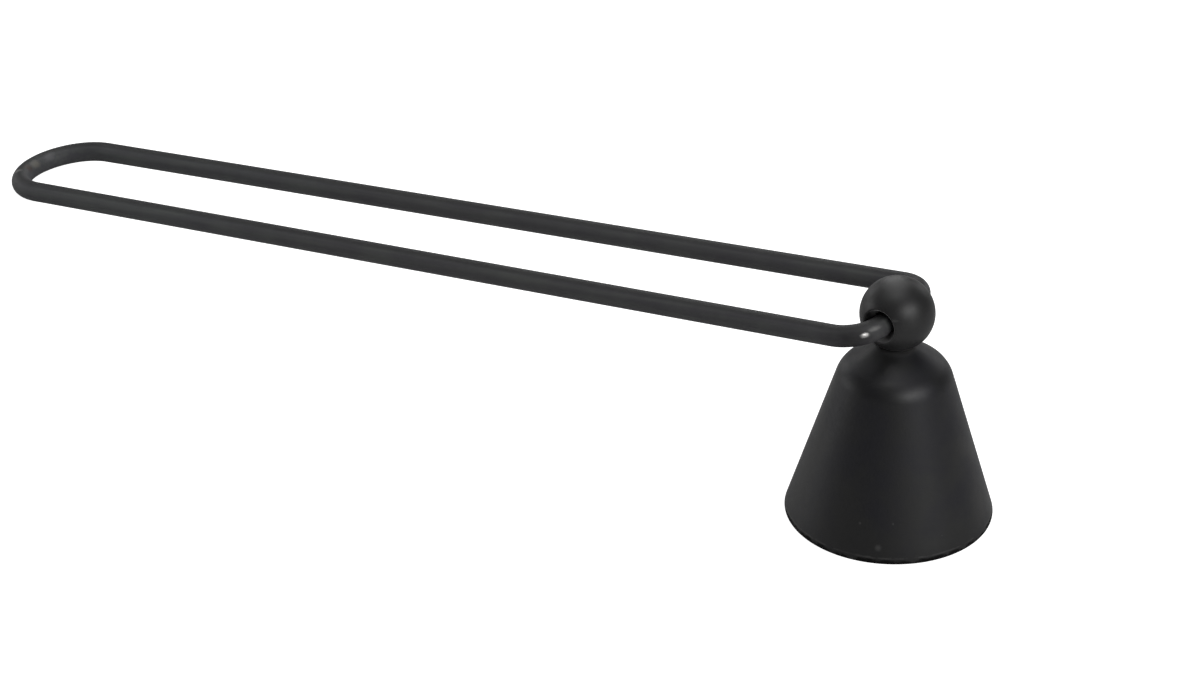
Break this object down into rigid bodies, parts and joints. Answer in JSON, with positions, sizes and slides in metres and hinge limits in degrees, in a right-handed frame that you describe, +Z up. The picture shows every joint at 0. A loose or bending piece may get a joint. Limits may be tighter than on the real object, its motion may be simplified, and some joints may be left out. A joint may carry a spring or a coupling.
{
  "type": "candle snuffer",
  "caption": "Bell-shaped snuffer under a drilled ball, on a long closed wire loop that swings in the ball and rests on the table.",
  "frame": {"origin": "centre of the bell's mouth, in the plane of its rim, which is the surface that the snuffer stands on", "axes": "+Z up along the bell's axis to the ball, -X from the ball along the handle to its far bend, Y across the handle's legs and along the pivot"},
  "size_m": [0.2334, 0.038, 0.048],
  "materials": {
    "bell_coating": "matte black coating, slightly mottled",
    "ball_coating": "satin black coating",
    "wire_coating": "matte black coating, rubbed grey on the outside",
    "fastener_steel": "zinc-plated steel"
  },
  "bodies": {
    "head": {"bell_cup": "bell_coating", "pivot_ball": "ball_coating", "fixing_screw": "fastener_steel", "lock_washer": "fastener_steel"},
    "handle": {"handle_wire": "wire_coating"}
  },
  "joints": [
    {"name": "handle_swing", "type": "hinge", "parent": "head", "child": "handle", "pos_m": [0, 0, 0.04105], "axis": [0, 1, 0], "range_deg": [-53.3, 254.1]}
  ]
}
